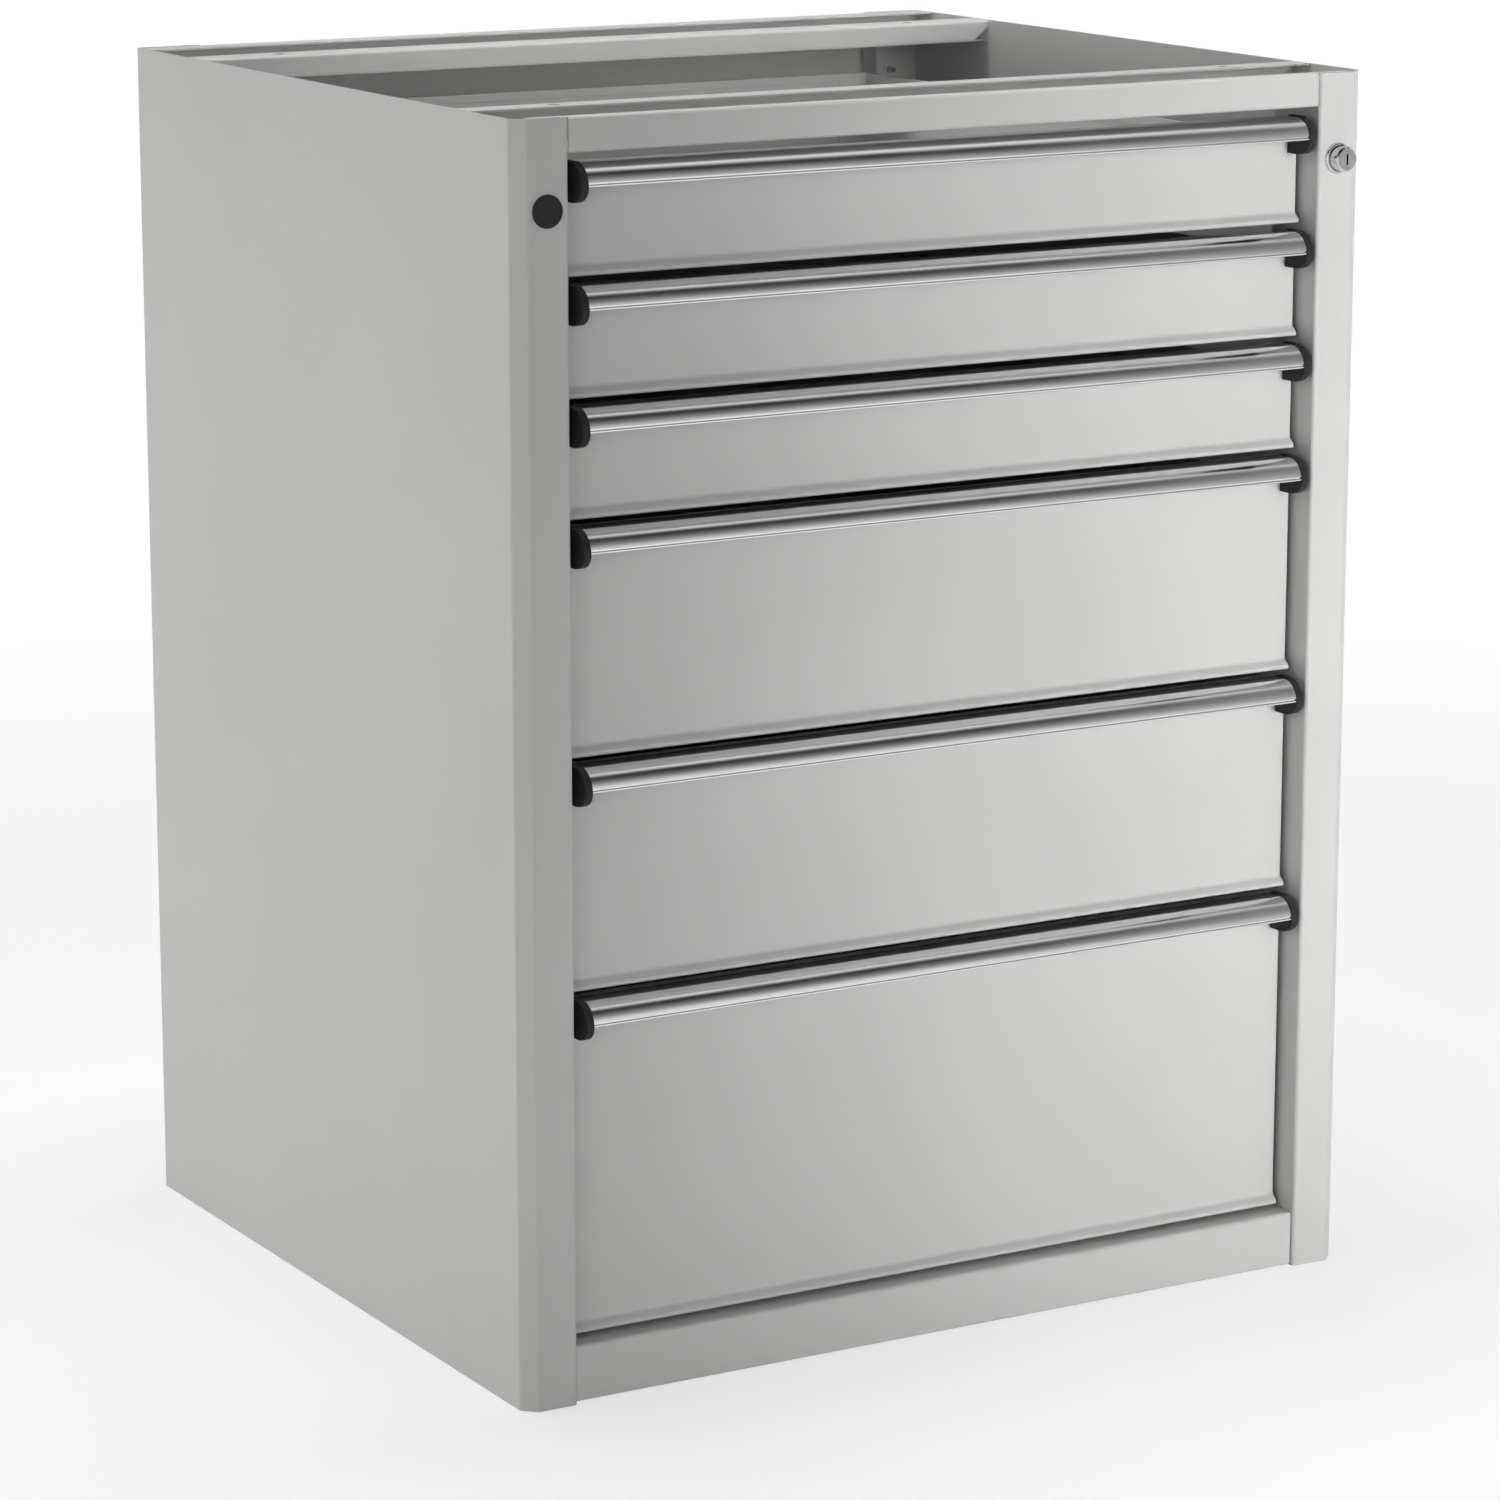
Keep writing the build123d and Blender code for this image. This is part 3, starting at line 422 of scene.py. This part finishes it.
def bar_tree():
    """Sweep of the bar's section and of its bead along the drawer's width."""
    tree, given, made = geometry_tree("handle bar", [
        ("Half Length", FLOAT), ("Bead Radius", FLOAT), ("Bead Place", VECTOR)])
    half = given.outputs["Half Length"]
    section = put(tree, "GeometryNodeMeshToCurve", {"Mesh": given.outputs["Start"]})
    start = put(tree, "ShaderNodeCombineXYZ", {"X": maths(tree, "MULTIPLY", half, -1.0)})
    end = put(tree, "ShaderNodeCombineXYZ", {"X": half})
    line = put(tree, "GeometryNodeCurvePrimitiveLine", {"Start": start.outputs[0], "End": end.outputs[0]})
    ring = put(tree, "GeometryNodeCurvePrimitiveCircle", {
        "Resolution": BEAD_SIDES, "Radius": given.outputs["Bead Radius"]})
    bead = moved(tree, ring.outputs[0], given.outputs["Bead Place"])
    swept = [put(tree, "GeometryNodeCurveToMesh", {
        "Curve": line.outputs[0], "Profile Curve": profile, "Fill Caps": True}).outputs[0]
        for profile in (section.outputs[0], bead)]
    close_tree(tree, made, joined(tree, swept), FINISHES["handle_aluminium"])
    return tree


def bar_section(face, nose, top, axis):
    """Bar's section as a closed wire, turned half round as the sweep along X reads it."""
    centre = nose + NOSE_RADIUS
    inner = NOSE_RADIUS - BAR_WALL
    groove_top = axis + 2 * BEAD_RADIUS + GROOVE_HEIGHT
    last = asin((groove_top - axis) / NOSE_RADIUS)

    def arc(radius, first, end):
        """Points round the nose's axis from one angle to another."""
        turns = [first + (end - first) * i / ARC_STEPS for i in range(ARC_STEPS + 1)]
        return [(centre - radius * cos(turn), axis + radius * sin(turn)) for turn in turns]

    points = [(face, top - BAR_FLANGE), (face, top)]
    points += arc(NOSE_RADIUS, pi / 2, last)
    points += [(nose + GROOVE_DEPTH, groove_top), (nose + GROOVE_DEPTH, axis + BEAD_RADIUS),
               (nose + BAR_WALL, axis + BEAD_RADIUS)]
    points += arc(inner, last, pi / 2)
    points += [(face - BAR_WALL, top - BAR_WALL), (face - BAR_WALL, top - BAR_FLANGE)]
    count = len(points)
    mesh = bpy.data.meshes.new("bar section")
    mesh.from_pydata([(-y, -z, 0.0) for y, z in points], [(i, (i + 1) % count) for i in range(count)], [])
    return mesh


BAR_TREE = bar_tree()
for number in DRAWERS:
    low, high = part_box(f"handle_bar_{number}")
    axis = high.z - NOSE_RADIUS
    bar = grown(f"polished_bar_{number}", bar_section(high.y, low.y, high.z, axis), BAR_TREE, {
        "Half Length": high.x, "Bead Radius": BEAD_RADIUS,
        "Bead Place": (-(low.y + BEAD_RADIUS), -(axis + BEAD_RADIUS), 0.0)})
    stand_for(bar, f"handle_bar_{number}", f"drawer_{number}")


# Back panel screws: pan heads with a cross recess, one on each point

SCREW_HEAD_RADIUS = 0.004
SCREW_HEAD_HEIGHT = 0.002
SCREW_RIM = 0.0008
SCREW_SEED = 4
HEAD_SIDES = 40
HEAD_TOP_SHARE = 0.6
SHANK_SIDES = 20
SHANK_SHARE = 0.44
RECESS = (0.0042, 0.0008, 0.0018)
MERGE_DISTANCE = 1e-6


def screw_tree():
    """Cross-recessed pan head and its shank on every point of the start mesh, each turned its own way."""
    tree, given, made = geometry_tree("panel screws", [
        ("Head Radius", FLOAT), ("Head Height", FLOAT), ("Rim", FLOAT), ("Shank Length", FLOAT),
        ("Recess", VECTOR), ("Seed", "NodeSocketInt")])
    radius, height, rim, length = [
        given.outputs[label] for label in ("Head Radius", "Head Height", "Rim", "Shank Length")]
    edge = put(tree, "GeometryNodeMeshCylinder", {"Vertices": HEAD_SIDES, "Radius": radius, "Depth": rim})
    edge_up = moved(tree, edge.outputs["Mesh"], rise(tree, maths(tree, "MULTIPLY", rim, 0.5)))
    dome = put(tree, "GeometryNodeMeshCone", {
        "Vertices": HEAD_SIDES, "Radius Top": maths(tree, "MULTIPLY", radius, HEAD_TOP_SHARE),
        "Radius Bottom": radius, "Depth": maths(tree, "SUBTRACT", height, rim)})
    dome_up = moved(tree, dome.outputs["Mesh"], rise(tree, rim))
    cut = put(tree, "GeometryNodeMeshBoolean", {0: dome_up}, operation="DIFFERENCE")
    for turn in (0.0, pi / 2):
        cutter = put(tree, "GeometryNodeMeshCube", {"Size": given.outputs["Recess"]})
        cutter_up = moved(tree, cutter.outputs["Mesh"], rise(tree, height), (0.0, 0.0, turn))
        tree.links.new(cutter_up, cut.inputs[1])
    shank = put(tree, "GeometryNodeMeshCylinder", {
        "Vertices": SHANK_SIDES, "Radius": maths(tree, "MULTIPLY", radius, SHANK_SHARE), "Depth": length})
    shank_in = moved(tree, shank.outputs["Mesh"], rise(tree, maths(tree, "MULTIPLY", length, -0.5)))
    whole = joined(tree, (edge_up, cut.outputs[0], shank_in))
    spin = put(tree, "FunctionNodeRandomValue", {2: 0.0, 3: pi / 2, "Seed": given.outputs["Seed"]})
    lean = put(tree, "ShaderNodeCombineXYZ", {"X": -pi / 2, "Y": spin.outputs[1]})
    spread = put(tree, "GeometryNodeInstanceOnPoints", {
        "Points": given.outputs["Start"], "Instance": whole, "Rotation": lean.outputs[0]})
    close_tree(tree, made, spread.outputs[0], FINISHES["zinc_steel"])
    return tree


def screw_points():
    """Middle of each screw of the CAD model, across and up the back panel."""
    heads = bmesh.new()
    heads.from_mesh(nodes["back_panel_screws"].data)
    bmesh.ops.remove_doubles(heads, verts=heads.verts, dist=MERGE_DISTANCE)
    left = set(heads.verts)
    points = []
    while left:
        reached = [left.pop()]
        for vertex in reached:
            for edge in vertex.link_edges:
                other = edge.other_vert(vertex)
                if other in left:
                    left.remove(other)
                    reached.append(other)
        middle_x = (min(v.co.x for v in reached) + max(v.co.x for v in reached)) / 2
        middle_z = (min(v.co.z for v in reached) + max(v.co.z for v in reached)) / 2
        points.append((middle_x, middle_z))
    heads.free()
    return sorted(points)


low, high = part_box("back_panel_screws")
seat = high.y - SCREW_HEAD_HEIGHT
points = bpy.data.meshes.new("screw points")
points.from_pydata([(x, seat, z) for x, z in screw_points()], [], [])
screws = grown("cross_screws", points, screw_tree(), {
    "Head Radius": SCREW_HEAD_RADIUS, "Head Height": SCREW_HEAD_HEIGHT, "Rim": SCREW_RIM,
    "Shank Length": seat - low.y, "Recess": RECESS, "Seed": SCREW_SEED})
stand_for(screws, "back_panel_screws", "carcass")


# Lock housing: a turned ring with a domed rim round the cylinder

LOCK_BORE = 0.0084
LOCK_RIM_INNER = 0.0088
LOCK_RIM_PROUD = 0.0025
LOCK_RIM_EDGE = 0.0004
LOCK_BARREL = 0.0093
DOME_STEPS = 12
TURNED_STEPS = 72


def turned(name, profile, centre, material):
    """Ring turned from a closed profile of radius and depth, about an axis that runs along Y."""
    count = len(profile)
    points = []
    faces = []
    for i in range(TURNED_STEPS):
        turn = 2 * pi * i / TURNED_STEPS
        points += [(centre.x + radius * cos(turn), depth, centre.z + radius * sin(turn))
                   for radius, depth in profile]
        start = i * count
        after = (i + 1) % TURNED_STEPS * count
        for j in range(count):
            k = (j + 1) % count
            faces.append((start + j, start + k, after + k, after + j))
    mesh = bpy.data.meshes.new(name)
    mesh.from_pydata(points, [], faces)
    mesh.materials.append(material)
    return plain_object(name, mesh)


low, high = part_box("lock_housing")
post_face = low.y + LOCK_RIM_PROUD
rim_radius = (high.x - low.x) / 2
rim_profile = [(LOCK_BORE, high.y), (LOCK_BORE, low.y + LOCK_RIM_EDGE)]
for i in range(DOME_STEPS + 1):
    turn = pi / 2 * i / DOME_STEPS
    rim_profile.append((LOCK_RIM_INNER + (rim_radius - LOCK_RIM_INNER) * sin(turn),
                        post_face - LOCK_RIM_EDGE - (LOCK_RIM_PROUD - LOCK_RIM_EDGE) * cos(turn)))
rim_profile += [(rim_radius, post_face), (LOCK_BARREL, post_face), (LOCK_BARREL, high.y)]
lock_rim = turned("lock_rim", rim_profile, (low + high) / 2, FINISHES["lock_chrome"])
stand_for(lock_rim, "lock_housing", "carcass")


# Floor, light and camera

FLOOR_REACH = 30.0
FLOOR_FADE_START = 0.9
FLOOR_FADE_END = 2.2
FLOOR_BOUNCE = 0.8
FLOOR_SHADOW = 0.5
FLOOR_GLOW = 0.62
HORIZON_LEVEL = 0.57
ZENITH_LEVEL = 0.06
ZENITH_RISE = 0.75

# Tunnel round an axis along X, at this depth and height; its shades go by degrees up from the front
TUNNEL_AXIS = (-0.28, 0.5)
TUNNEL_RADIUS = 6.0
TUNNEL_REACH = 8.0
TUNNEL_STEPS = 48
TUNNEL_FRONT = 0.95
TUNNEL_SHADES = ((13, 0.82), (19, 0.62), (27, 0.4), (37, 0.22), (48, 0.1), (58, 0.035), (67, 0.04),
                 (73, 0.35), (82, 0.8), (96, 1.0), (118, 0.9), (128, 0.2))
TUNNEL_BACK = 0.5
RIGHT_END_START = 3.9
RIGHT_END_FULL = 4.7
RIGHT_END_SHARE = 0.85
RIGHT_END_SHADE = 0.4
TUNNEL_FLATS = ((1.7, 2.3), (5.2, 6.0))
FLAT_FADE = 0.2
FLAT_SHADE = 0.03

CARD_CENTRE = (1.77, -2.28, 0.49)
CARD_ACROSS = (0.2, 0.148)
CARD_HALF_HEIGHT = 0.22
CARD_SHADE = 0.55

CAMERA_LENS = 126.47
CAMERA_SENSOR = 36.0
CAMERA_FAR = 100.0
CAMERA_PLACE = (-1.7725, -3.0720, 1.1388)
CAMERA_DOWN = 12.683
CAMERA_RIGHT = 30.09


def stage_piece(name, points, faces, material):
    """Object of the studio."""
    mesh = bpy.data.meshes.new(name)
    mesh.from_pydata(points, [], faces)
    mesh.materials.append(material)
    piece = bpy.data.objects.new(name, mesh)
    scene.collection.objects.link(piece)
    return piece


def show_to_metal_only(piece):
    """Hide a studio piece from all but mirrored rays."""
    piece.visible_camera = False
    piece.visible_diffuse = False
    piece.visible_shadow = False
    piece.visible_transmission = False


def seen(tree):
    """1 for rays from the eye, off bright metal or through something clear, else 0."""
    path = put(tree, "ShaderNodeLightPath").outputs
    direct = maths(tree, "MAXIMUM", path["Is Camera Ray"], path["Is Glossy Ray"])
    return maths(tree, "MAXIMUM", direct, path["Is Transmission Ray"])


def floor():
    """Wide pale floor that shows white and keeps the cabinet's shadow."""
    material, tree = bare_material("pale_floor")
    where = put(tree, "ShaderNodeTexCoord").outputs["Object"]
    distance = put(tree, "ShaderNodeVectorMath", {0: where}, operation="LENGTH").outputs["Value"]
    far = span(tree, distance, FLOOR_FADE_START, FLOOR_FADE_END)
    matt = put(tree, "ShaderNodeBsdfDiffuse", {"Color": grey(FLOOR_BOUNCE)})
    shadowed = put(tree, "ShaderNodeBsdfDiffuse", {"Color": grey(FLOOR_SHADOW)})
    glow = put(tree, "ShaderNodeEmission", {"Color": WHITE, "Strength": FLOOR_GLOW})
    white = put(tree, "ShaderNodeEmission", {"Color": WHITE, "Strength": 1.0})
    near = put(tree, "ShaderNodeAddShader", {0: shadowed.outputs[0], 1: glow.outputs[0]})
    pale = put(tree, "ShaderNodeMixShader", {0: far, 1: near.outputs[0], 2: white.outputs[0]})
    shown = put(tree, "ShaderNodeMixShader", {0: seen(tree), 1: matt.outputs[0], 2: pale.outputs[0]})
    put(tree, "ShaderNodeOutputMaterial", {"Surface": shown.outputs[0]})
    corners = [(-FLOOR_REACH, -FLOOR_REACH, 0), (FLOOR_REACH, -FLOOR_REACH, 0),
               (FLOOR_REACH, FLOOR_REACH, 0), (-FLOOR_REACH, FLOOR_REACH, 0)]
    plane = stage_piece("floor", corners, [(0, 1, 2, 3)], material)


def world():
    """White to the eye and to bright metal; to the rest a plain level, brighter low down than overhead."""
    made = bpy.data.worlds.new("studio")
    scene.world = made
    made.use_nodes = True
    tree = made.node_tree
    tree.nodes.clear()
    direction = put(tree, "ShaderNodeTexCoord").outputs["Generated"]
    upward = put(tree, "ShaderNodeSeparateXYZ", {0: direction}).outputs["Z"]
    level = span(tree, upward, 0.0, ZENITH_RISE, HORIZON_LEVEL, ZENITH_LEVEL)
    plain = put(tree, "ShaderNodeBackground", {"Color": WHITE, "Strength": level})
    white = put(tree, "ShaderNodeBackground", {"Color": WHITE, "Strength": 1.0})
    mixed = put(tree, "ShaderNodeMixShader", {0: seen(tree), 1: plain.outputs[0], 2: white.outputs[0]})
    put(tree, "ShaderNodeOutputWorld", {"Surface": mixed.outputs[0]})


def shade_tunnel():
    """Half-round studio tunnel over the cabinet that only bright metal sees: white at the floor, a dark wall
    and a light overhead, which give the bars their bands."""
    material, tree = bare_material("tunnel_shade")
    place = put(tree, "ShaderNodeTexCoord").outputs["Object"]
    where = put(tree, "ShaderNodeSeparateXYZ", {0: place}).outputs
    ahead = maths(tree, "SUBTRACT", TUNNEL_AXIS[0], where["Y"])
    above = maths(tree, "SUBTRACT", where["Z"], TUNNEL_AXIS[1])
    wall = put(tree, "ShaderNodeValToRGB", {
        "Fac": maths(tree, "DIVIDE", maths(tree, "ARCTAN2", above, ahead), pi)})
    ramp = wall.color_ramp
    ramp.elements[0].position, ramp.elements[0].color = 0.0, grey(TUNNEL_FRONT)
    ramp.elements[1].position, ramp.elements[1].color = 1.0, grey(TUNNEL_BACK)
    for degrees, shade in TUNNEL_SHADES:
        ramp.elements.new(degrees / 180).color = grey(shade)
    right_end = span(tree, where["X"], RIGHT_END_START, RIGHT_END_FULL, 0.0, RIGHT_END_SHARE)
    tone = blend(tree, right_end, wall.outputs["Color"], grey(RIGHT_END_SHADE))
    for left, right in TUNNEL_FLATS:
        inside = maths(tree, "MULTIPLY", span(tree, where["X"], left, left + FLAT_FADE),
                       span(tree, where["X"], right, right - FLAT_FADE))
        tone = blend(tree, inside, tone, grey(FLAT_SHADE))
    glow = put(tree, "ShaderNodeEmission", {"Color": tone, "Strength": 1.0})
    put(tree, "ShaderNodeOutputMaterial", {"Surface": glow.outputs[0]})
    points = []
    for i in range(TUNNEL_STEPS + 1):
        turn = pi * i / TUNNEL_STEPS
        y = TUNNEL_AXIS[0] - TUNNEL_RADIUS * cos(turn)
        z = TUNNEL_AXIS[1] + TUNNEL_RADIUS * sin(turn)
        points += [(-TUNNEL_REACH, y, z), (TUNNEL_REACH, y, z)]
    faces = [(2 * i, 2 * i + 1, 2 * i + 3, 2 * i + 2) for i in range(TUNNEL_STEPS)]
    tunnel = stage_piece("shade_tunnel", points, faces, material)
    show_to_metal_only(tunnel)


def grey_card():
    """Standing card that only bright metal sees, where the lock's face mirrors it to the camera."""
    material, tree = bare_material("card_grey")
    glow = put(tree, "ShaderNodeEmission", {"Color": grey(CARD_SHADE), "Strength": 1.0})
    put(tree, "ShaderNodeOutputMaterial", {"Surface": glow.outputs[0]})
    centre = Vector(CARD_CENTRE)
    half = Vector((*CARD_ACROSS, 0.0))
    up = Vector((0.0, 0.0, CARD_HALF_HEIGHT))
    corners = [centre - half - up, centre + half - up, centre + half + up, centre - half + up]
    card = stage_piece("grey_card", corners, [(0, 1, 2, 3)], material)
    show_to_metal_only(card)


def lamp(name, place, aim, size, power, spread=180.0):
    """Soft rectangular lamp that looks at a point; bright metal doesn't mirror it."""
    light = bpy.data.lights.new(name, "AREA")
    light.shape = "RECTANGLE"
    light.size, light.size_y = size
    light.energy = power
    light.spread = radians(spread)
    holder = bpy.data.objects.new(name, light)
    scene.collection.objects.link(holder)
    holder.location = place
    towards = Vector(aim) - Vector(place)
    holder.rotation_euler = towards.to_track_quat("-Z", "Y").to_euler()
    holder.visible_glossy = False
    holder.visible_camera = False


floor()
world()
shade_tunnel()
grey_card()
lamp("right_strip", place=(0.45, -2.3, 0.92), aim=(0.45, -0.28, 0.92), size=(0.4, 2.2), power=5.1,
     spread=44.0)
lamp("right_low", place=(0.9, -2.6, 0.4), aim=(0.2, -0.28, 0.1), size=(0.5, 0.3), power=0.45, spread=32.0)
lamp("left_softbox", place=(-2.3, 0.75, 0.35), aim=(-0.3, 0.1, 0.3), size=(1.2, 0.7), power=13.9)
lamp("front_left", place=(-2.0, -2.0, 0.95), aim=(-0.3, -0.28, 0.5), size=(0.8, 0.8), power=5.9)
lamp("overhead", place=(0.0, 0.15, 2.6), aim=(0.0, 0.15, 0.0), size=(1.2, 0.8), power=32.0)

camera = bpy.data.cameras.new("camera")
camera.lens = CAMERA_LENS
camera.sensor_width = CAMERA_SENSOR
camera.clip_end = CAMERA_FAR
eye = bpy.data.objects.new("camera", camera)
scene.collection.objects.link(eye)
eye.location = CAMERA_PLACE
eye.rotation_euler = (pi / 2 - radians(CAMERA_DOWN), 0.0, -radians(CAMERA_RIGHT))
scene.camera = eye
